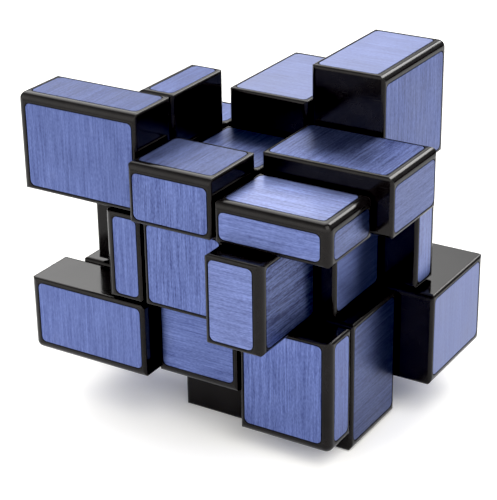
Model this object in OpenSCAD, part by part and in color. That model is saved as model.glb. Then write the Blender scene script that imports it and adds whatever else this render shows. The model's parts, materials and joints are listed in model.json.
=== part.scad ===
// Twisty puzzle cube with unequal layers: three slices on every axis, all cut in the
// same places, but each of the six outer faces stands at its own distance from the core.
// X runs left to right, Y runs front to back, Z is up. Z = 0 is the surface it stands on,
// and the core's centre is straight above the origin.

/* [Cube] */
// Edge of the cube when it is solved, mm
solved_edge = 57; // [56:0.5:58]
// Thickness of the middle slice on all three axes, mm
middle_slice = 19.4; // [19:0.1:19.8]
// How far the core sits off the solved cube's centre towards the right face, mm
core_offset_x = 2; // [1:0.5:3]
// How far the core sits off the solved cube's centre towards the front face, mm
core_offset_y = 6; // [5:0.5:7]
// How far the core sits off the solved cube's centre towards the top face, mm
core_offset_z = 10; // [9:0.5:10]

/* [Blocks] */
// Gap between neighbouring blocks, mm
block_gap = 0.6; // [0.4:0.05:0.7]
// Wall thickness of the hollow blocks, mm
wall = 1.6; // [1.2:0.1:1.8]
// Rounding of an edge between two foil faces, mm
foil_edge_round = 1.6; // [1:0.1:1.8]
// Rounding of an edge between a foil face and a cut face, mm
cut_edge_round = 0.7; // [0.3:0.1:0.7]
// Rounding of an edge between two cut faces, mm
inner_edge_round = 1.2; // [0.8:0.1:1.4]

/* [Foils] */
// Thickness of a foil, which lies flush in a recess of the same depth, mm
foil_thickness = 0.2; // [0.1:0.05:0.3]
// Distance from a rounded outer edge's face to the foil recess, mm
foil_edge_inset = 1.8; // [1.8:0.1:2.4]
// Distance from a cut face to the foil recess, mm
cut_edge_inset = 0.8; // [0.7:0.1:1.2]
// Corner radius of the foil recess, mm
foil_corner_radius = 1.2; // [0.8:0.1:1.6]
// Play between a foil and its recess, mm
foil_play = 0.1; // [0.05:0.01:0.12]

/* [Mechanism] */
// Height above the core's centre at which a turning layer's inner disc starts, mm
disc_height = 6; // [5.8:0.1:6.2]
// Radius of a turning layer's inner disc, mm
disc_radius = 12.4; // [12:0.1:12.6]
// Height above the core's centre at which the wider step starts, mm
step_height = 8; // [7.8:0.1:8.1]
// Radius of the wider step, mm
step_radius = 15.8; // [15.6:0.1:16]
// Clearance on each side of a sliding face, mm
slide_clearance = 0.1; // [0.08:0.01:0.12]

/* [Core] */
// Radius of the core's ball, mm
ball_radius = 7.2; // [7:0.1:7.3]
// Radius of the core's six arms, mm
arm_radius = 3.2; // [3:0.1:3.3]
// Distance from the core's centre to an arm's end, mm
arm_reach = 8.8; // [8.6:0.1:8.9]
// Radial running clearance of the hubs on the arms and screws, mm
running_clearance = 0.08; // [0.05:0.01:0.1]
// Radius of a screw's shank, mm
screw_radius = 1.5; // [1.4:0.05:1.6]
// Radius of a spring's wire, mm
spring_wire_radius = 0.3; // [0.25:0.01:0.32]
// Turns of a spring
spring_turns = 3.5; // [3:0.5:4]

/* [Hidden] */
$fn = 64;

// Distances from the core's centre to the six faces of the solved cube.
to_right = solved_edge / 2 - core_offset_x;
to_left = solved_edge / 2 + core_offset_x;
to_front = solved_edge / 2 - core_offset_y;
to_back = solved_edge / 2 + core_offset_y;
to_top = solved_edge / 2 - core_offset_z;
to_bottom = solved_edge / 2 + core_offset_z;

core_height = to_bottom;
cut = middle_slice / 2;
cut_face = cut + block_gap / 2;
mid_face = cut - block_gap / 2;

// The foot of a corner or edge fills its block's inner corner up to this distance.
foot_reach = cut_face + 4.5;
// The hub of a centre piece ends here, and its block starts.
hub_reach = step_radius + 0.2;
// The spigot of a foot stands this far into the hollow block, and that of a hub less.
foot_spigot = 2;
hub_spigot = 0.8;
spigot_play = 0.05;
// Longer than anything in the mechanism, for cutting.
far = 40;

// Screw, spring and washer, as distances from the core's centre along one arm.
screw_start = 3.2;
shelf_start = arm_reach + 0.2;
shelf_end = 10.6;
spring_end = 13.6;
washer_end = 14;
head_end = 15.5;
head_radius = 2.8;
washer_radius = 3.2;
spring_radius = 2.6;
chamber_radius = 3.6;
drive_width = 0.8;
drive_length = 3.2;
drive_depth = 0.9;
seat_play = 0.03;
ball_play = 0.3;

black = [0.03, 0.03, 0.035];
blue = [0.36, 0.42, 0.68];
core_grey = [0.16, 0.16, 0.17];
steel = [0.62, 0.63, 0.65];

// Every piece: where it sits (-1, 0 or 1 on each axis), and how far from the core's centre
// its outer faces stand. The distances name the solved cube's faces, so the list also says
// how the cube is scrambled. A zero stands for an axis without an outer face.
top_centre = [[0, 0, 1], [0, 0, to_top]];
bottom_centre = [[0, 0, -1], [0, 0, to_bottom]];
front_centre = [[0, -1, 0], [0, to_front, 0]];
back_centre = [[0, 1, 0], [0, to_back, 0]];
right_centre = [[1, 0, 0], [to_right, 0, 0]];
left_centre = [[-1, 0, 0], [to_left, 0, 0]];

top_front = [[0, -1, 1], [0, to_right, to_front]];
top_right = [[1, 0, 1], [to_bottom, 0, to_front]];
top_back = [[0, 1, 1], [0, to_bottom, to_right]];
top_left = [[-1, 0, 1], [to_top, 0, to_left]];
front_left = [[-1, -1, 0], [to_top, to_front, 0]];
front_right = [[1, -1, 0], [to_front, to_left, 0]];
back_right = [[1, 1, 0], [to_back, to_top, 0]];
back_left = [[-1, 1, 0], [to_back, to_right, 0]];
bottom_front = [[0, -1, -1], [0, to_top, to_right]];
bottom_right = [[1, 0, -1], [to_left, 0, to_bottom]];
bottom_back = [[0, 1, -1], [0, to_back, to_bottom]];
bottom_left = [[-1, 0, -1], [to_back, 0, to_left]];

top_front_left = [[-1, -1, 1], [to_bottom, to_front, to_left]];
top_front_right = [[1, -1, 1], [to_back, to_right, to_top]];
top_back_right = [[1, 1, 1], [to_right, to_bottom, to_back]];
top_back_left = [[-1, 1, 1], [to_right, to_front, to_top]];
bottom_front_left = [[-1, -1, -1], [to_bottom, to_front, to_right]];
bottom_front_right = [[1, -1, -1], [to_left, to_top, to_back]];
bottom_back_right = [[1, 1, -1], [to_bottom, to_back, to_left]];
bottom_back_left = [[-1, 1, -1], [to_left, to_front, to_top]];

top_layer = [
  top_centre, top_front, top_right, top_back, top_left,
  top_front_left, top_front_right, top_back_right, top_back_left
];
middle_layer = [
  front_centre, back_centre, right_centre, left_centre,
  front_left, front_right, back_right, back_left
];
bottom_layer = [
  bottom_centre, bottom_front, bottom_right, bottom_back, bottom_left,
  bottom_front_left, bottom_front_right, bottom_back_right, bottom_back_left
];
arms = [[0, 0, 1], [0, 0, -1], [0, -1, 0], [0, 1, 0], [1, 0, 0], [-1, 0, 0]];

// A block is drawn on the positive side of every axis and then mirrored into place.
function has_outer(piece, axis) = abs(piece[0][axis]) == 1;
function low(piece, axis) = has_outer(piece, axis) ? cut_face : -mid_face;
function high(piece, axis) = has_outer(piece, axis) ? piece[1][axis] : mid_face;
function edge_round(a, b) = (a && b) ? foil_edge_round : ((a || b) ? cut_edge_round : inner_edge_round);
function high_inset(piece, axis) = has_outer(piece, axis) ? foil_edge_inset : cut_edge_inset;
function outer_count(piece) = abs(piece[0][0]) + abs(piece[0][1]) + abs(piece[0][2]);

module in_place(piece) {
  translate([0, 0, core_height])
    mirror([piece[0][0] < 0 ? 1 : 0, 0, 0])
      mirror([0, piece[0][1] < 0 ? 1 : 0, 0])
        mirror([0, 0, piece[0][2] < 0 ? 1 : 0])
          children();
}

// Turns an extrusion along Z so that it runs along the given axis. The drawing's two
// directions become Y and Z for axis 0, X and Z for axis 1, and X and Y for axis 2.
module along(axis) {
  if (axis == 0) rotate([90, 0, 90]) children();
  if (axis == 1) mirror([0, 1, 0]) rotate([90, 0, 0]) children();
  if (axis == 2) children();
}

module corner_waste(r) {
  difference() {
    translate([-1, -1]) square(r + 1);
    translate([r, r]) circle(r);
  }
}

// A rectangle with its own radius at each corner, counted from low-low anticlockwise.
module rounded_rectangle(from, to, radii) {
  difference() {
    translate(from) square(to - from);
    translate(from) corner_waste(radii[0]);
    translate([to[0], from[1]]) rotate(90) corner_waste(radii[1]);
    translate(to) rotate(180) corner_waste(radii[2]);
    translate([from[0], to[1]]) rotate(270) corner_waste(radii[3]);
  }
}

// The block's outline seen along one axis, with every edge rounded by its own kind.
module outline(piece, a, b) {
  outer_a = has_outer(piece, a);
  outer_b = has_outer(piece, b);
  radii = [
    edge_round(false, false),
    edge_round(outer_a, false),
    edge_round(outer_a, outer_b),
    edge_round(false, outer_b)
  ];
  rounded_rectangle([low(piece, a), low(piece, b)], [high(piece, a), high(piece, b)], radii);
}

module prism(piece, axis) {
  along(axis)
    translate([0, 0, low(piece, axis)])
      linear_extrude(high(piece, axis) - low(piece, axis))
        children();
}

// Where a corner piece's three outer faces meet, its rounded edges run into a ball. The ball
// is turned so that its poles and its seam stay clear of the piece.
module vertex_waste(piece) {
  r = foil_edge_round;
  translate([high(piece, 0) - r, high(piece, 1) - r, high(piece, 2) - r])
    difference() {
      cube(r + 1);
      rotate([0, 90, -45]) sphere(r);
    }
}

module solid_block(piece) {
  difference() {
    intersection() {
      prism(piece, 0) outline(piece, 1, 2);
      prism(piece, 1) outline(piece, 0, 2);
      prism(piece, 2) outline(piece, 0, 1);
    }
    if (outer_count(piece) == 3) vertex_waste(piece);
  }
}

// The foil's outline on the outer face of one axis, made smaller all round by play.
module foil_outline(piece, a, b, play) {
  from = [low(piece, a) + cut_edge_inset + play, low(piece, b) + cut_edge_inset + play];
  to = [high(piece, a) - high_inset(piece, a) - play, high(piece, b) - high_inset(piece, b) - play];
  r = foil_corner_radius - play;
  rounded_rectangle(from, to, [r, r, r, r]);
}

// A plate of the foil's outline on each outer face, starting at the recess floor.
module plates(piece, height, play) {
  for (axis = [0, 1, 2])
    if (has_outer(piece, axis))
      along(axis)
        translate([0, 0, high(piece, axis) - foil_thickness])
          linear_extrude(height)
            foil_outline(piece, axis == 0 ? 1 : 0, axis == 2 ? 1 : 2, play);
}

module box(from, to) {
  translate(from) cube(to - from);
}

// The room inside a block, made smaller all round by play.
module hollow(piece, play) {
  inset = wall + play;
  box(
    [low(piece, 0) + inset, low(piece, 1) + inset, low(piece, 2) + inset],
    [high(piece, 0) - inset, high(piece, 1) - inset, high(piece, 2) - inset]
  );
}

// The region near the core that belongs to a piece's foot or hub, out to a distance.
module inner_region(piece, reach) {
  box(
    [has_outer(piece, 0) ? 0 : -far, has_outer(piece, 1) ? 0 : -far, has_outer(piece, 2) ? 0 : -far],
    [has_outer(piece, 0) ? reach : far, has_outer(piece, 1) ? reach : far, has_outer(piece, 2) ? reach : far]
  );
}

function is_centre(piece) = outer_count(piece) == 1;
function split_reach(piece) = is_centre(piece) ? hub_reach : foot_reach;
function spigot_reach(piece) = split_reach(piece) + (is_centre(piece) ? hub_spigot : foot_spigot);

// Where a piece's spigot starts: a hub's lies wholly outside the discs that turn past it.
function spigot_start(piece) = is_centre(piece) ? step_radius + slide_clearance : cut_face;

module block(piece) {
  color(black)
    in_place(piece)
      difference() {
        solid_block(piece);
        plates(piece, far, 0);
        hollow(piece, 0);
        inner_region(piece, split_reach(piece));
      }
}

// The space a turning layer owns: an inner disc, a wider step, and all beyond the cut.
module own_layer(axis) {
  along(axis) {
    translate([0, 0, disc_height + slide_clearance])
      cylinder(r = disc_radius - slide_clearance, h = far);
    translate([0, 0, step_height + slide_clearance])
      cylinder(r = step_radius - slide_clearance, h = far);
    translate([-far, -far, cut_face])
      cube([2 * far, 2 * far, far]);
  }
}

// The space left between the two turning layers of one axis.
module between_layers(axis) {
  along(axis)
    difference() {
      translate([-far, -far, -mid_face]) cube([2 * far, 2 * far, 2 * mid_face]);
      for (side = [0, 1])
        mirror([0, 0, side]) {
          translate([0, 0, disc_height - slide_clearance])
            cylinder(r = disc_radius + slide_clearance, h = far);
          translate([0, 0, step_height - slide_clearance])
            cylinder(r = step_radius + slide_clearance, h = far);
        }
    }
}

module share_of_axis(piece, axis) {
  if (has_outer(piece, axis)) own_layer(axis);
  if (!has_outer(piece, axis)) between_layers(axis);
}

module foot_shape(piece) {
  intersection() {
    share_of_axis(piece, 0);
    share_of_axis(piece, 1);
    share_of_axis(piece, 2);
    inner_region(piece, split_reach(piece));
  }
  difference() {
    intersection() {
      hollow(piece, spigot_play);
      inner_region(piece, spigot_reach(piece));
    }
    inner_region(piece, spigot_start(piece));
  }
}

// The foot that holds a corner or an edge under its neighbours.
module foot(piece) {
  color(black)
    in_place(piece)
      foot_shape(piece);
}

module on_arm(direction) {
  translate([0, 0, core_height])
    rotate([direction[1] * -90, direction[0] * 90, 0])
      rotate([direction[2] < 0 ? 180 : 0, 0, 0])
        children();
}

// The hub of a centre piece: it turns on the core's arm, and its screw pulls it inward.
module hub(piece) {
  color(black)
    difference() {
      in_place(piece) foot_shape(piece);
      on_arm(piece[0]) {
        cylinder(r = arm_radius + running_clearance, h = shelf_start);
        cylinder(r = screw_radius + running_clearance, h = far);
        translate([0, 0, shelf_end]) cylinder(r = chamber_radius, h = far);
        sphere(r = ball_radius + ball_play);
      }
    }
}

module foils(layer) {
  color(blue)
    for (piece = layer)
      in_place(piece)
        plates(piece, foil_thickness, foil_play);
}

// ---- sub-parts ----

module core() {
  color(core_grey)
    difference() {
      union() {
        translate([0, 0, core_height]) sphere(r = ball_radius);
        for (direction = arms) on_arm(direction) cylinder(r = arm_radius, h = arm_reach);
      }
      for (direction = arms)
        on_arm(direction)
          translate([0, 0, screw_start - seat_play])
            cylinder(r = screw_radius + seat_play, h = far);
    }
}

module screw() {
  difference() {
    union() {
      translate([0, 0, screw_start]) cylinder(r = screw_radius, h = washer_end - screw_start);
      translate([0, 0, washer_end]) cylinder(r = head_radius, h = head_end - washer_end);
    }
    for (turn = [0, 90])
      rotate([0, 0, turn])
        translate([-drive_length / 2, -drive_width / 2, head_end - drive_depth])
          cube([drive_length, drive_width, far]);
  }
}

module core_screws() {
  color(steel)
    for (direction = arms) on_arm(direction) screw();
}

// One spring as a wire swept along a helix.
steps_per_turn = 12;
wire_sides = 6;
spring_start = shelf_end + seat_play;
spring_rise = spring_end - seat_play - spring_start - 2 * spring_wire_radius;
spring_steps = steps_per_turn * spring_turns;

function wire_point(step, side) =
  let (turn = 360 * step / steps_per_turn)
  let (around = 360 * side / wire_sides)
  let (r = spring_radius + spring_wire_radius * cos(around))
  let (z = spring_rise * step / spring_steps + spring_wire_radius * sin(around))
  [r * cos(turn), r * sin(turn), spring_start + spring_wire_radius + z];

wire_points = [
  for (step = [0:spring_steps], side = [0:wire_sides - 1]) wire_point(step, side)
];
function wire_index(step, side) = step * wire_sides + side % wire_sides;
wire_sides_faces = [
  for (step = [0:spring_steps - 1], side = [0:wire_sides - 1])
    each [
      [wire_index(step, side), wire_index(step, side + 1), wire_index(step + 1, side + 1)],
      [wire_index(step, side), wire_index(step + 1, side + 1), wire_index(step + 1, side)]
    ]
];
wire_start_face = [for (side = [wire_sides - 1:-1:0]) wire_index(0, side)];
wire_end_face = [for (side = [0:wire_sides - 1]) wire_index(spring_steps, side)];

module spring() {
  polyhedron(points = wire_points, faces = concat([wire_start_face], wire_sides_faces, [wire_end_face]));
}

module core_springs() {
  color(steel)
    for (direction = arms) on_arm(direction) spring();
}

module core_washers() {
  color(steel)
    for (direction = arms)
      on_arm(direction)
        translate([0, 0, spring_end])
          difference() {
            cylinder(r = washer_radius, h = washer_end - spring_end);
            translate([0, 0, -1]) cylinder(r = screw_radius + seat_play, h = far);
          }
}

// The top layer's pieces.
module top_front_left_block() {
  block(top_front_left);
}

module top_front_left_foot() {
  foot(top_front_left);
}

module top_front_right_block() {
  block(top_front_right);
}

module top_front_right_foot() {
  foot(top_front_right);
}

module top_back_right_block() {
  block(top_back_right);
}

module top_back_right_foot() {
  foot(top_back_right);
}

module top_back_left_block() {
  block(top_back_left);
}

module top_back_left_foot() {
  foot(top_back_left);
}

module top_front_block() {
  block(top_front);
}

module top_front_foot() {
  foot(top_front);
}

module top_right_block() {
  block(top_right);
}

module top_right_foot() {
  foot(top_right);
}

module top_back_block() {
  block(top_back);
}

module top_back_foot() {
  foot(top_back);
}

module top_left_block() {
  block(top_left);
}

module top_left_foot() {
  foot(top_left);
}

module top_centre_block() {
  block(top_centre);
}

module top_centre_hub() {
  hub(top_centre);
}

module top_layer_foils() {
  foils(top_layer);
}

// The middle slice's pieces.
module front_left_block() {
  block(front_left);
}

module front_left_foot() {
  foot(front_left);
}

module front_right_block() {
  block(front_right);
}

module front_right_foot() {
  foot(front_right);
}

module back_right_block() {
  block(back_right);
}

module back_right_foot() {
  foot(back_right);
}

module back_left_block() {
  block(back_left);
}

module back_left_foot() {
  foot(back_left);
}

module front_centre_block() {
  block(front_centre);
}

module front_centre_hub() {
  hub(front_centre);
}

module back_centre_block() {
  block(back_centre);
}

module back_centre_hub() {
  hub(back_centre);
}

module right_centre_block() {
  block(right_centre);
}

module right_centre_hub() {
  hub(right_centre);
}

module left_centre_block() {
  block(left_centre);
}

module left_centre_hub() {
  hub(left_centre);
}

module middle_layer_foils() {
  foils(middle_layer);
}

// The bottom layer's pieces.
module bottom_front_left_block() {
  block(bottom_front_left);
}

module bottom_front_left_foot() {
  foot(bottom_front_left);
}

module bottom_front_right_block() {
  block(bottom_front_right);
}

module bottom_front_right_foot() {
  foot(bottom_front_right);
}

module bottom_back_right_block() {
  block(bottom_back_right);
}

module bottom_back_right_foot() {
  foot(bottom_back_right);
}

module bottom_back_left_block() {
  block(bottom_back_left);
}

module bottom_back_left_foot() {
  foot(bottom_back_left);
}

module bottom_front_block() {
  block(bottom_front);
}

module bottom_front_foot() {
  foot(bottom_front);
}

module bottom_right_block() {
  block(bottom_right);
}

module bottom_right_foot() {
  foot(bottom_right);
}

module bottom_back_block() {
  block(bottom_back);
}

module bottom_back_foot() {
  foot(bottom_back);
}

module bottom_left_block() {
  block(bottom_left);
}

module bottom_left_foot() {
  foot(bottom_left);
}

module bottom_centre_block() {
  block(bottom_centre);
}

module bottom_centre_hub() {
  hub(bottom_centre);
}

module bottom_layer_foils() {
  foils(bottom_layer);
}

// Which sub-part to draw: all, or one name from the list above

core();
core_screws();
core_springs();
core_washers();
top_front_left_block();
top_front_left_foot();
top_front_right_block();
top_front_right_foot();
top_back_right_block();
top_back_right_foot();
top_back_left_block();
top_back_left_foot();
top_front_block();
top_front_foot();
top_right_block();
top_right_foot();
top_back_block();
top_back_foot();
top_left_block();
top_left_foot();
top_centre_block();
top_centre_hub();
top_layer_foils();
front_left_block();
front_left_foot();
front_right_block();
front_right_foot();
back_right_block();
back_right_foot();
back_left_block();
back_left_foot();
front_centre_block();
front_centre_hub();
back_centre_block();
back_centre_hub();
right_centre_block();
right_centre_hub();
left_centre_block();
left_centre_hub();
middle_layer_foils();
bottom_front_left_block();
bottom_front_left_foot();
bottom_front_right_block();
bottom_front_right_foot();
bottom_back_right_block();
bottom_back_right_foot();
bottom_back_left_block();
bottom_back_left_foot();
bottom_front_block();
bottom_front_foot();
bottom_right_block();
bottom_right_foot();
bottom_back_block();
bottom_back_foot();
bottom_left_block();
bottom_left_foot();
bottom_centre_block();
bottom_centre_hub();
bottom_layer_foils();
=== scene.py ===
import json
import math
import random

import bpy
from mathutils import Matrix, Vector


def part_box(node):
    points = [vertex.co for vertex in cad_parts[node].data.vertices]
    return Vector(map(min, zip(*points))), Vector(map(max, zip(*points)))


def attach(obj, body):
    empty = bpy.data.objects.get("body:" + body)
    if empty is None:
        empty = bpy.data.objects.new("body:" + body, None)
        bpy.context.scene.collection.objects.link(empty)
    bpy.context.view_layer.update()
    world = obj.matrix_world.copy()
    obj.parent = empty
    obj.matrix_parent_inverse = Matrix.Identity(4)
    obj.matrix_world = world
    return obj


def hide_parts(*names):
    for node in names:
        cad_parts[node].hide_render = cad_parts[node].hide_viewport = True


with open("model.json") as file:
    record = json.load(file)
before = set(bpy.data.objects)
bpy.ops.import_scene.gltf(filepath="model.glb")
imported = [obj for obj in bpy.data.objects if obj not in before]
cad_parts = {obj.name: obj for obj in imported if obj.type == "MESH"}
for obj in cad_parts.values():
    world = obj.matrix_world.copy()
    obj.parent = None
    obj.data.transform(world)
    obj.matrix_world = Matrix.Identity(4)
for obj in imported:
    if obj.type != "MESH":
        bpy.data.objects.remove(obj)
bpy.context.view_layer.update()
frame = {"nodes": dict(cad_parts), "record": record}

MM = 0.001
SEED = 11
random.seed(SEED)

# ---------------------------------------------------------------- the frame's own places

core_low, core_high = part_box("core")
CORE = (core_low + core_high) / 2
BODIES = frame["record"]["behaviour"]["bodies"]

# A block's side this far from the core, or farther, is one of the cube's outer faces.
OUTER_FROM = 12 * MM

# The foil recess, as the CAD cuts it.
INSET_AT_OUTER = 1.8 * MM
INSET_AT_CUT = 0.8 * MM
# A foil is this much smaller all round than its recess.
FOIL_PLAY = 0.2 * MM
FOIL_CORNER = 1.1 * MM
FOIL_THICKNESS = 0.2 * MM
FOIL_CHAMFER = 0.05 * MM
CORNER_STEPS = 8

# ---------------------------------------------------------------- node helpers

# Cosine of the angle between a surface and its bevelled copy, where an edge starts to show
# and where it shows in full.
STILL_FLAT = 0.995
FULL_EDGE = 0.9


class Graph:
    """Short names for building a node tree."""

    def __init__(self, owner):
        owner.use_nodes = True
        self.tree = owner.node_tree

    def node(self, kind, **settings):
        n = self.tree.nodes.new("ShaderNode" + kind)
        for key, value in settings.items():
            setattr(n, key, value)
        return n

    def put(self, value, socket):
        if isinstance(value, bpy.types.NodeSocket):
            self.tree.links.new(value, socket)
        else:
            socket.default_value = value

    def math(self, operation, a, b=0.0, clamp=False):
        n = self.node("Math", operation=operation, use_clamp=clamp)
        self.put(a, n.inputs[0])
        self.put(b, n.inputs[1])
        return n.outputs[0]

    def add(self, a, b):
        return self.math("ADD", a, b)

    def mul(self, a, b):
        return self.math("MULTIPLY", a, b)

    def remap(self, value, from_low, from_high, to_low, to_high, smooth=False):
        n = self.node("MapRange", clamp=True)
        n.interpolation_type = "SMOOTHSTEP" if smooth else "LINEAR"
        for i, v in enumerate((value, from_low, from_high, to_low, to_high)):
            self.put(v, n.inputs[i])
        return n.outputs[0]

    def vector(self, x, y, z):
        n = self.node("CombineXYZ")
        for i, v in enumerate((x, y, z)):
            self.put(v, n.inputs[i])
        return n.outputs[0]

    def split(self, vector):
        n = self.node("SeparateXYZ")
        self.put(vector, n.inputs[0])
        return n.outputs

    def scaled(self, vector, scale, turn=(0, 0, 0)):
        n = self.node("Mapping")
        self.put(vector, n.inputs["Vector"])
        n.inputs["Scale"].default_value = scale
        n.inputs["Rotation"].default_value = turn
        return n.outputs[0]

    def noise(self, vector, scale=1.0, detail=2.0, rough=0.5, distortion=0.0):
        n = self.node("TexNoise")
        self.put(vector, n.inputs["Vector"])
        n.inputs["Scale"].default_value = scale
        n.inputs["Detail"].default_value = detail
        n.inputs["Roughness"].default_value = rough
        n.inputs["Distortion"].default_value = distortion
        return n.outputs["Fac"]

    def mix(self, factor, a, b):
        n = self.node("Mix", data_type="RGBA")
        self.put(factor, n.inputs[0])
        self.put(a, n.inputs[6])
        self.put(b, n.inputs[7])
        return n.outputs[2]

    def bump(self, height, strength, distance):
        n = self.node("Bump")
        self.put(height, n.inputs["Height"])
        n.inputs["Strength"].default_value = strength
        n.inputs["Distance"].default_value = distance
        return n.outputs[0]

    def place(self):
        """Positions in millimetres in the piece's own frame, so a pattern turns with its piece."""
        return self.scaled(self.node("TexCoord").outputs["Object"], (1 / MM,) * 3)

    def edge(self, radius):
        """1 on rounded and sharp outer edges, 0 on flats."""
        bevel = self.node("Bevel", samples=4)
        bevel.inputs["Radius"].default_value = radius
        turned = self.node("VectorMath", operation="DOT_PRODUCT")
        self.put(bevel.outputs[0], turned.inputs[0])
        self.put(self.node("NewGeometry").outputs["Normal"], turned.inputs[1])
        return self.remap(turned.outputs["Value"], STILL_FLAT, FULL_EDGE, 0.0, 1.0, smooth=True)


class Surface(Graph):
    """A new material and its main shader."""

    def __init__(self, name):
        self.mat = bpy.data.materials.new(name)
        super().__init__(self.mat)
        self.shader = self.tree.nodes["Principled BSDF"]

    def set(self, **values):
        for key, value in values.items():
            self.put(value, self.shader.inputs[key.replace("_", " ")])


def rgb(r, g, b):
    return (r, g, b, 1.0)


# ---------------------------------------------------------------- materials

# The brushing's three sizes of line, in waves per millimetre across and along the lines.
HAIR_WAVES = (3.6, 0.12)
BAND_WAVES = (1.9, 0.06)
GRAIN_WAVES = (5.0, 1.4)
# How much of the brushing each makes up.
HAIR_SHARE = 0.46
BAND_SHARE = 0.27
GRAIN_SHARE = 0.27
SMUDGE_WAVES = (0.09, 0.09)
# Foils take their slices of the noise from a block this deep, so no two look alike.
NOISE_DEPTH = 40.0
# The film's colour on a line's light side, and on its dark side where lines are faint or strong.
LINE_LIGHT = rgb(0.178, 0.234, 0.515)
LINE_DARK_FAINT = rgb(0.072, 0.098, 0.268)
LINE_DARK_STRONG = rgb(0.032, 0.043, 0.146)
SCUFFED_FILM = rgb(0.30, 0.34, 0.50)
# Painted sheen: the pale colour that a shiny foil's film is mixed toward.
PAINTED_SHEEN_FILM = rgb(0.48, 0.52, 0.74)


def brushed_foil():
    """Blue metallic film with hairline brushing along V of the "brush" map."""
    g = Surface("brushed_blue_foil")
    uv = g.split(g.node("UVMap", uv_map="brush").outputs[0])
    across, lengthwise = uv[0], uv[1]
    attribute = g.node("Attribute", attribute_name="foil_traits")
    traits = g.split(attribute.outputs["Color"])
    # The second trait is the film's lightness, painted light and shade included.
    strength, tone_and_shade, seed = traits[0], traits[1], g.mul(traits[2], NOISE_DEPTH)

    def pattern(waves, slice_shift, **settings):
        """Noise over the foil; the shift keeps patterns of nearly the same waves apart."""
        at = g.vector(g.mul(across, waves[0]), g.mul(lengthwise, waves[1]), g.add(seed, slice_shift))
        return g.noise(at, **settings)

    hair = pattern(HAIR_WAVES, 0.0, detail=3.0, rough=0.7)
    band = pattern(BAND_WAVES, 7.3, detail=2.0)
    grain = pattern(GRAIN_WAVES, 3.1, detail=1.0)
    smudge = pattern(SMUDGE_WAVES, 0.0, detail=3.0, rough=0.55)

    coarse_and_fine = g.add(g.mul(band, BAND_SHARE), g.mul(grain, GRAIN_SHARE))
    streak = g.add(g.mul(hair, HAIR_SHARE), coarse_and_fine)
    contrast = g.remap(strength, 0.0, 1.0, 1.6, 6.4)
    level = g.math("ADD", 0.5, g.mul(g.math("SUBTRACT", streak, 0.5), contrast), clamp=True)

    dark = g.mix(strength, LINE_DARK_FAINT, LINE_DARK_STRONG)
    blue = g.mix(level, dark, LINE_LIGHT)
    scuff = g.remap(smudge, 0.56, 0.74, 0.0, 0.10, smooth=True)
    blue = g.mix(scuff, blue, SCUFFED_FILM)
    # Painted sheen: a shiny foil's colour is mixed toward a pale blue that stands in for the whitish
    # reflection of its coat; its coat is also stronger.
    pale = attribute.outputs["Alpha"]
    blue = g.mix(g.mul(pale, 0.22), blue, PAINTED_SHEEN_FILM)
    # Sheen that drifts slowly over a foil.
    tone_and_shade = g.mul(tone_and_shade, g.remap(smudge, 0.32, 0.68, 0.92, 1.08))
    toned_and_shaded = g.node("VectorMath", operation="SCALE")
    g.put(blue, toned_and_shaded.inputs[0])
    g.put(tone_and_shade, toned_and_shaded.inputs["Scale"])

    rough = g.remap(hair, 0.3, 0.7, 0.32, 0.40)
    rough = g.add(rough, g.remap(smudge, 0.35, 0.7, -0.04, 0.06))
    relief = g.bump(streak, 0.4, 0.03 * MM)
    g.set(
        Base_Color=toned_and_shaded.outputs[0],
        Metallic=0.94,
        Roughness=rough,
        Anisotropic=0.85,
        Normal=relief,
        Coat_Normal=relief,
        Tangent=g.node("Tangent", direction_type="UV_MAP", uv_map="brush").outputs[0],
        Coat_Weight=g.remap(pale, 0.0, 1.0, 0.14, 1.0),
        Coat_Roughness=0.2,
    )
    return g.mat


WORN_EDGE = rgb(0.016, 0.015, 0.014)
SCRATCHED = rgb(0.03, 0.03, 0.03)
# A warm and dim gloss.
GLOSS_TINT = rgb(0.44, 0.42, 0.40)
PLASTIC_IOR = 1.5
EDGE_WEAR_WIDTH = 0.9 * MM
# Two sets of hairline scratches: waves per millimetre on each axis, the turn of the set, and
# the noise levels between which a scratch comes up.
SCRATCHES_A = ((0.25, 5.5, 5.5), (0.3, 0.5, 0.9), (0.69, 0.76))
SCRATCHES_B = ((4.8, 4.8, 0.22), (0.6, 0.2, 0.4), (0.70, 0.77))


def glossy_plastic(name, dark, light, roughness, texture):
    """Moulded black plastic: faint flow marks, smudges, hairline scratches and polished edges."""
    g = Surface(name)
    at = g.place()
    mottle = g.noise(at, 0.35, 3.0, 0.6)
    smudge = g.noise(at, 0.08, 3.0, 0.55, 0.6)
    skin = g.noise(at, 3.2, 2.0, 0.5)
    wave = g.noise(at, 0.14, 1.0)
    scratch_sets = [
        g.remap(g.noise(g.scaled(at, waves, turn)), *levels, 0.0, 1.0)
        for waves, turn, levels in (SCRATCHES_A, SCRATCHES_B)
    ]
    scratches = g.math("MAXIMUM", *scratch_sets)
    edge = g.edge(EDGE_WEAR_WIDTH)

    colour = g.mix(g.remap(mottle, 0.35, 0.65, 0.0, 1.0), dark, light)
    colour = g.mix(g.mul(edge, 0.3), colour, WORN_EDGE)
    colour = g.mix(g.mul(scratches, 0.2), colour, SCRATCHED)

    rough = g.add(roughness, g.remap(smudge, 0.4, 0.7, 0.0, 0.06))
    rough = g.add(rough, g.mul(edge, 0.22))
    rough = g.add(rough, g.mul(scratches, 0.08))
    height = g.add(g.mul(skin, texture), g.add(wave, g.mul(scratches, -0.3)))
    g.set(
        Base_Color=colour,
        Roughness=rough,
        Normal=g.bump(height, 0.25, 0.02 * MM),
        Specular_Tint=GLOSS_TINT,
        IOR=PLASTIC_IOR,
    )
    return g.mat


DULL_STEEL = rgb(0.36, 0.35, 0.33)


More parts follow.
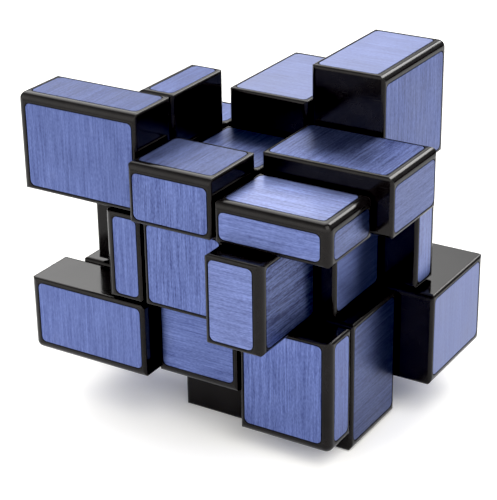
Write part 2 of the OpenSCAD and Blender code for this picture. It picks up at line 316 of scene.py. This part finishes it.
def turned_steel(name, tint):
    """Zinc-plated steel with fine turning marks and slightly dull patches."""
    g = Surface(name)
    at = g.place()
    rings = g.noise(g.scaled(at, (7.0, 7.0, 1.2), (0.2, 0.1, 0.0)), 1.0, 3.0, 0.6)
    patch = g.noise(at, 0.7, 3.0, 0.6)
    colour = g.mix(g.remap(patch, 0.35, 0.65, 0.0, 1.0), tint, DULL_STEEL)
    rough = g.add(g.remap(rings, 0.3, 0.7, 0.18, 0.34), g.remap(patch, 0.4, 0.7, 0.0, 0.12))
    g.set(Base_Color=colour, Metallic=1.0, Roughness=rough, Normal=g.bump(rings, 0.3, 0.02 * MM))
    return g.mat


FOIL = brushed_foil()
BLOCK = glossy_plastic(
    "block_plastic",
    dark=rgb(0.0046, 0.0042, 0.0044),
    light=rgb(0.0074, 0.0067, 0.0069),
    roughness=0.12,
    texture=0.35,
)
FOOT = glossy_plastic(
    "foot_plastic",
    dark=rgb(0.008, 0.008, 0.009),
    light=rgb(0.016, 0.015, 0.016),
    roughness=0.24,
    texture=0.8,
)
CORE_PLASTIC = glossy_plastic(
    "core_plastic",
    dark=rgb(0.020, 0.020, 0.022),
    light=rgb(0.034, 0.034, 0.036),
    roughness=0.28,
    texture=0.9,
)
SCREW = turned_steel("screw_steel", rgb(0.62, 0.62, 0.60))
SPRING = turned_steel("spring_steel", rgb(0.50, 0.50, 0.51))
WASHER = turned_steel("washer_steel", rgb(0.66, 0.63, 0.56))

NODE_MATERIALS = {
    "core": CORE_PLASTIC,
    "core_screws": SCREW,
    "core_springs": SPRING,
    "core_washers": WASHER,
}


def material_of(node):
    if node.endswith("_block"):
        return BLOCK
    if node.endswith(("_foot", "_hub")):
        return FOOT
    if node.endswith("_foils"):
        return FOIL
    return NODE_MATERIALS[node]


for node_name, obj in frame["nodes"].items():
    if not obj.material_slots:
        obj.data.materials.append(material_of(node_name))
    for material_slot in obj.material_slots:
        material_slot.material = material_of(node_name)

# ---------------------------------------------------------------- the foils

# The way each foil is brushed: the axis that its lines run along, for each facing axis.
BRUSH_ALONG = {0: 2, 1: 2, 2: 1}
# Foils brushed the other way from the rest, as (block, facing axis): axis of the lines.
BRUSH_ODD = {
    ("top_front_right", 1): 0,
    ("front_right", 1): 0,
    ("bottom_front", 1): 0,
    ("top_front_right", 0): 1,
    ("front_right", 0): 1,
    ("bottom_right", 0): 1,
    ("right_centre", 0): 1,
    ("top_right", 0): 1,
    ("top_front_right", 2): 0,
    ("top_back", 2): 0,
    ("top_back_right", 2): 0,
    ("back_left", 1): 0,
    ("bottom_back", 1): 0,
    ("left_centre", 0): 1,
    ("bottom_left", 0): 1,
    ("bottom_right", 2): 0,
}
# How strongly the lines show, from 0 to 1, where it isn't the usual value.
USUAL_STRENGTH = 0.45
STRENGTH = {
    ("front_right", 0): 1.0,
    ("top_right", 2): 0.7,
    ("top_front", 2): 0.55,
    ("top_centre", 2): 0.6,
    ("top_front_right", 0): 0.75,
    ("top_front_right", 2): 0.75,
    ("top_front_left", 1): 0.35,
    ("top_front", 1): 0.5,
    ("front_left", 1): 0.35,
    ("front_centre", 1): 0.5,
    ("front_right", 1): 0.45,
    ("bottom_front", 1): 0.4,
    ("top_front_right", 1): 0.4,
    ("bottom_front_right", 1): 0.4,
    ("top_back", 2): 0.3,
    ("top_back_right", 2): 0.35,
    ("bottom_back_right", 0): 0.1,
    ("bottom_front_left", 1): 0.25,
    ("right_centre", 0): 0.3,
}
# How light a foil's film is painted, where it isn't 1: partly its own colour and partly painted
# light and shade, set face by face; the tops here are all painted darker.
FILM_TONE_AND_SHADE = {
    ("top_front_left", 2): 0.65,
    ("top_left", 2): 0.78,
    ("top_front", 2): 0.59,
    ("top_back", 2): 0.73,
    ("top_back_right", 2): 0.86,
    ("top_front_right", 2): 0.92,
    ("top_centre", 2): 0.75,
    ("top_right", 2): 0.96,
    ("top_right", 0): 0.86,
    ("top_front_right", 0): 0.78,
    ("top_back_right", 0): 0.85,
    ("top_front_left", 1): 0.95,
    ("top_front_right", 1): 1.04,
    ("front_centre", 1): 1.06,
    ("front_right", 1): 1.06,
    ("front_right", 0): 0.82,
    ("right_centre", 0): 1.1,
    ("bottom_front_left", 1): 1.05,
    ("bottom_front", 1): 0.96,
    ("bottom_front_right", 1): 1.15,
    ("bottom_front_right", 0): 1.07,
    ("bottom_right", 0): 0.66,
    ("bottom_back_right", 0): 0.9,
}
# How shiny a foil's coat is, and how much painted sheen its colour takes, from 0 to 1, where it
# isn't 0.
COAT_AND_PAINTED_SHEEN = {
    ("top_back", 2): 0.7,
    ("top_back_right", 2): 0.8,
    ("top_front_right", 2): 0.5,
    ("top_front_right", 1): 0.15,
    ("front_right", 1): 0.3,
    ("bottom_front_right", 0): 0.15,
    ("back_right", 0): 0.3,
    ("bottom_back_right", 0): 0.35,
}
# How light the cut edge of the film is painted, next to its face: painted shade, for the dark gap
# round the foil.
CUT_EDGE_SHADE = 0.12
# How far a foil's brushing is shifted at random, in millimetres, so that no two are alike,
# and how much its lightness varies.
BRUSH_SHIFT = 60
TONE_SPREAD = 0.03
# Points round a foil's outline.
OUTLINE_POINTS = 4 * (CORNER_STEPS + 1)


def rounded_outline(low, high, radius):
    """Points of a rectangle with round corners, anticlockwise from its low-low corner."""
    centres = (
        (low[0] + radius, low[1] + radius, 180),
        (high[0] - radius, low[1] + radius, 270),
        (high[0] - radius, high[1] - radius, 0),
        (low[0] + radius, high[1] - radius, 90),
    )
    points = []
    for x, y, start in centres:
        for step in range(CORNER_STEPS + 1):
            a = math.radians(start + 90 * step / CORNER_STEPS)
            points.append((x + radius * math.cos(a), y + radius * math.sin(a)))
    return points


def foil_plates(block):
    """The facing axis, side, outline limits and height of each foil on one block."""
    low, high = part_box(block)
    outer = {
        (axis, side): abs((high if side > 0 else low)[axis] - CORE[axis]) > OUTER_FROM
        for axis in range(3)
        for side in (-1, 1)
    }
    for (axis, side), is_outer in outer.items():
        if not is_outer:
            continue
        across = [b for b in range(3) if b != axis]
        inset = {
            key: (INSET_AT_OUTER if key_is_outer else INSET_AT_CUT) + FOIL_PLAY
            for key, key_is_outer in outer.items()
        }
        start = [low[b] + inset[b, -1] for b in across]
        end = [high[b] - inset[b, 1] for b in across]
        yield axis, side, across, start, end, (high if side > 0 else low)[axis]


def plate_solid(axis, side, across, start, end, face):
    """Points and outward faces of a thin plate with round corners and a fine chamfer.

    The faces come in order: the back, the front, then the cut edge and the chamfer.
    """
    outline = rounded_outline(start, end, FOIL_CORNER)
    inner = rounded_outline(
        [s + FOIL_CHAMFER for s in start],
        [e - FOIL_CHAMFER for e in end],
        FOIL_CORNER - FOIL_CHAMFER,
    )
    rings = (
        (outline, face - side * FOIL_THICKNESS),
        (outline, face - side * FOIL_CHAMFER),
        (inner, face),
    )
    count = len(outline)
    points = []
    for ring, depth in rings:
        for p in ring:
            point = [0.0, 0.0, 0.0]
            point[across[0]], point[across[1]], point[axis] = p[0], p[1], depth
            points.append(point)
    faces = [list(range(count))[::-1], [2 * count + i for i in range(count)]]
    for level in range(2):
        for i in range(count):
            j = (i + 1) % count
            a, b = level * count + i, level * count + j
            faces.append([a, b, b + count, a + count])
    # The order above faces outward where (across, axis) is a right-handed set.
    if (side > 0) == (axis == 1):
        faces = [f[::-1] for f in faces]
    return points, faces


def add_foil(mesh, block, axis, side, across, start, end, face):
    """One foil in its recess, with the place on its brushing and the traits of each face."""
    points, faces = plate_solid(axis, side, across, start, end, face)
    place = (block.removesuffix("_block"), axis)
    along = BRUSH_ODD.get(place, BRUSH_ALONG[axis])
    other = [b for b in across if b != along][0]
    shift = (random.uniform(-BRUSH_SHIFT, BRUSH_SHIFT), random.uniform(-BRUSH_SHIFT, BRUSH_SHIFT))
    # The film's lightness: the painted light and shade set for its face, with a small random spread.
    tone_and_shade = FILM_TONE_AND_SHADE.get(place, 1.0) * random.uniform(1 - TONE_SPREAD, 1 + TONE_SPREAD)
    strength = STRENGTH.get(place, USUAL_STRENGTH)
    # How shiny its coat is and how much painted sheen its colour takes.
    pale = COAT_AND_PAINTED_SHEEN.get(place, 0.0)
    seed = random.random()
    base = len(mesh["points"])
    cut_edge_faces = range(2, 2 + OUTLINE_POINTS)
    mesh["points"] += points
    for i, f in enumerate(faces):
        mesh["faces"].append([base + j for j in f])
        # Painted shade: the film's cut edge is painted much darker than its face.
        shade = CUT_EDGE_SHADE * tone_and_shade if i in cut_edge_faces else tone_and_shade
        mesh["brushing"].append((along, other, shift, (strength, shade, seed, pale)))


def foil_piece(name, members):
    """One body's foils as a piece of its own."""
    mesh = {"points": [], "faces": [], "brushing": []}
    for block in members:
        if block.endswith("_block"):
            for plate in foil_plates(block):
                add_foil(mesh, block, *plate)
    data = bpy.data.meshes.new(name)
    data.from_pydata(mesh["points"], [], mesh["faces"])
    data.uv_layers.new(name="brush")
    data.color_attributes.new("foil_traits", "FLOAT_COLOR", "CORNER")
    # Fetched only once both are there, because making a layer moves the ones before it.
    uv = data.uv_layers["brush"]
    traits = data.color_attributes["foil_traits"]
    for polygon, (along, other, shift, trait) in zip(data.polygons, mesh["brushing"]):
        for corner in polygon.loop_indices:
            co = data.vertices[data.loops[corner].vertex_index].co
            uv.data[corner].uv = (co[other] / MM + shift[0], co[along] / MM + shift[1])
            traits.data[corner].color = trait
    data.materials.append(FOIL)
    data.update()
    piece = bpy.data.objects.new(name, data)
    bpy.context.scene.collection.objects.link(piece)
    return piece


for body, nodes in BODIES.items():
    foil_node = [n for n in nodes if n.endswith("_foils")][0]
    foils = foil_piece(foil_node.replace("_foils", "_brushed_foils"), nodes)
    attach(foils, body)
    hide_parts(foil_node)

# ---------------------------------------------------------------- floor

FLOOR_HALF_WIDTH = 4.0
FLOOR_PAINT = (rgb(0.79, 0.79, 0.79), rgb(0.81, 0.81, 0.81))
# Over 1, so that the floor clips to white, and warm, which offsets the blue that it catches.
FLOOR_AS_SEEN = (rgb(1.12, 1.105, 1.07), rgb(1.15, 1.135, 1.10))


def floor():
    """A plain pale floor, which the camera sees overexposed but which lights the object normally."""
    data = bpy.data.meshes.new("floor")
    half = FLOOR_HALF_WIDTH
    corners = [(-half, -half, 0), (half, -half, 0), (half, half, 0), (-half, half, 0)]
    data.from_pydata(corners, [], [(0, 1, 2, 3)])
    g = Surface("pale_floor")
    patch = g.noise(g.node("TexCoord").outputs["Object"], 3.0, 3.0)
    seen = g.node("LightPath").outputs["Is Camera Ray"]
    matt = g.node("BsdfDiffuse")
    paint = g.mix(seen, g.mix(patch, *FLOOR_PAINT), g.mix(patch, *FLOOR_AS_SEEN))
    g.put(paint, matt.inputs["Color"])
    g.put(matt.outputs[0], g.tree.nodes["Material Output"].inputs["Surface"])
    data.materials.append(g.mat)
    obj = bpy.data.objects.new("floor", data)
    bpy.context.scene.collection.objects.link(obj)


floor()

# ---------------------------------------------------------------- light

LIGHT_DISTANCE = 1.1


def softbox(name, way, size, radiance):
    """A square soft box that faces the core, given by the way to it and the radiance it shows."""
    data = bpy.data.lights.new(name, "AREA")
    data.shape = "SQUARE"
    data.size = size
    data.energy = radiance * math.pi * size * size
    obj = bpy.data.objects.new(name, data)
    bpy.context.scene.collection.objects.link(obj)
    obj.location = CORE + Vector(way).normalized() * LIGHT_DISTANCE
    obj.rotation_euler = (CORE - obj.location).to_track_quat("-Z", "Y").to_euler()


# One behind makes the bright lines on edges that run front to back, and one overhead the
# soft shadow underneath.
softbox("softbox_back", (0.12, 0.774, 0.62), 0.36, 7.0)
softbox("softbox_top", (0.62, -0.32, 1.0), 0.8, 3.2)

# Radiance of the room: a bright wall low down on the camera's side, dark low down behind
# the object, and bright again high up behind its left, where the key light stands.
WALL = 1.8
# Azimuth of the wall's middle, and how far to each side it is bright and then gone, in degrees.
WALL_WAY = -78.0
WALL_REACH = (64.0, 104.0)
# The wall fades, and the ceiling comes up, between these heights, as sines of the elevation.
WALL_FADE = (0.4, 0.94)
CEILING = 0.32
CEILING_RISE = (-0.04, 0.4)
KEY = 3.8
KEY_WAY = (-0.448, 0.497, 0.743)
# Cosines of the angle off the key's middle, where it is at its brightest and where it is gone.
KEY_REACH = (1.0, 0.8)
# What the camera sees in place of the room: plain white.
ROOM_AS_SEEN = 1.1


def studio_world():
    """The room, drawn by the direction that it is seen in."""
    world = bpy.data.worlds.new("studio")
    bpy.context.scene.world = world
    g = Graph(world)
    way = g.node("TexCoord").outputs["Generated"]
    x, y, z = g.split(way)
    azimuth = g.math("ARCTAN2", y, x)
    off = g.math("ABSOLUTE", g.math("SUBTRACT", azimuth, math.radians(WALL_WAY)))
    off = g.math("MINIMUM", off, g.math("SUBTRACT", 2 * math.pi, off))
    reach = [math.radians(angle) for angle in WALL_REACH]
    wall = g.remap(off, *reach, 1.0, 0.0, smooth=True)
    wall = g.mul(wall, g.remap(z, *WALL_FADE, WALL, 0.0, smooth=True))
    ceiling = g.remap(z, *CEILING_RISE, 0.0, CEILING, smooth=True)
    toward = g.node("VectorMath", operation="DOT_PRODUCT")
    g.put(way, toward.inputs[0])
    toward.inputs[1].default_value = Vector(KEY_WAY).normalized()
    key = g.remap(toward.outputs["Value"], KEY_REACH[1], KEY_REACH[0], 0.0, KEY, smooth=True)
    light = g.add(wall, g.math("MAXIMUM", ceiling, key))
    seen = g.node("Mix")
    g.put(g.node("LightPath").outputs["Is Camera Ray"], seen.inputs[0])
    g.put(light, seen.inputs[2])
    seen.inputs[3].default_value = ROOM_AS_SEEN
    g.put(seen.outputs[0], g.tree.nodes["Background"].inputs["Strength"])
    g.tree.nodes["Background"].inputs["Color"].default_value = rgb(1.0, 1.0, 1.0)


studio_world()

# ---------------------------------------------------------------- view

# Anything darker than this comes out plain black.
BLACK_LEVEL = 0.008

scene = bpy.context.scene
view = scene.view_settings
view.view_transform = "Standard"
view.look = "None"
view.use_curve_mapping = True
view.curve_mapping.black_level = (BLACK_LEVEL,) * 3
view.curve_mapping.update()

# ---------------------------------------------------------------- camera

CAMERA_FROM_CORE = Vector((164.56, -264.36, 137.65)) * MM
AZIMUTH = math.radians(31.73)
ELEVATION = math.radians(24.50)
ROLL = math.radians(-0.90)
SENSOR_HEIGHT = 36.0
FOCAL_LENGTH = 119.5416


def make_camera():
    """A long lens, looking down on the front right corner."""
    data = bpy.data.cameras.new("camera")
    data.sensor_fit = "VERTICAL"
    data.sensor_height = SENSOR_HEIGHT
    data.lens = FOCAL_LENGTH
    data.clip_start = 10 * MM
    data.dof.use_dof = False
    obj = bpy.data.objects.new("camera", data)
    scene.collection.objects.link(obj)
    forward = Vector((
        -math.sin(AZIMUTH) * math.cos(ELEVATION),
        math.cos(AZIMUTH) * math.cos(ELEVATION),
        -math.sin(ELEVATION),
    ))
    level = Vector((math.cos(AZIMUTH), math.sin(AZIMUTH), 0))
    right = math.cos(ROLL) * level + math.sin(ROLL) * level.cross(forward)
    up = right.cross(forward)
    turn = Matrix((right, up, -forward)).transposed()
    obj.matrix_world = Matrix.Translation(CORE + CAMERA_FROM_CORE) @ turn.to_4x4()
    scene.camera = obj


make_camera()
